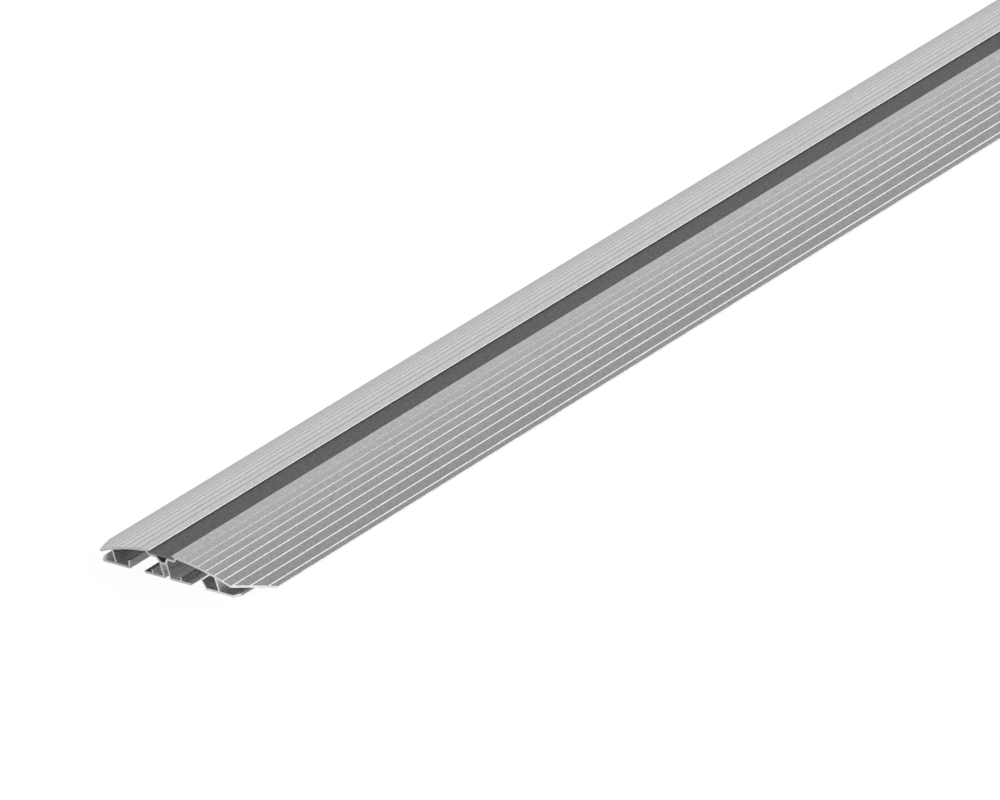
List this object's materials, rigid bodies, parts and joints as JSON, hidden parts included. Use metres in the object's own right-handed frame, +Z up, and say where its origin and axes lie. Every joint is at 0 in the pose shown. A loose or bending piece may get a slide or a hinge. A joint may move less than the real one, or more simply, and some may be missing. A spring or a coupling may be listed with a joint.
{
  "type": "floor threshold strip",
  "caption": "Low arched aluminium floor strip with ribbed wings, corners cut off, open cable chambers below and a dark cover strip along the middle.",
  "frame": {"origin": "on the floor, under the middle of the strip", "axes": "+X along the strip, +Y across it, +Z up from the floor"},
  "size_m": [1, 0.15, 0.0165],
  "materials": {
    "anodised_aluminium": "satin clear anodised extrusion, fine lengthwise die lines",
    "cover_plastic": "matte dark grey soft plastic"
  },
  "bodies": {
    "profile": {"strip_profile": "anodised_aluminium"},
    "cover": {"cover_strip": "cover_plastic"}
  },
  "joints": [
    {"name": "cover_slide", "type": "slide", "parent": "profile", "child": "cover", "axis": [1, 0, 0], "range_m": [-1.01, 1.01]}
  ]
}
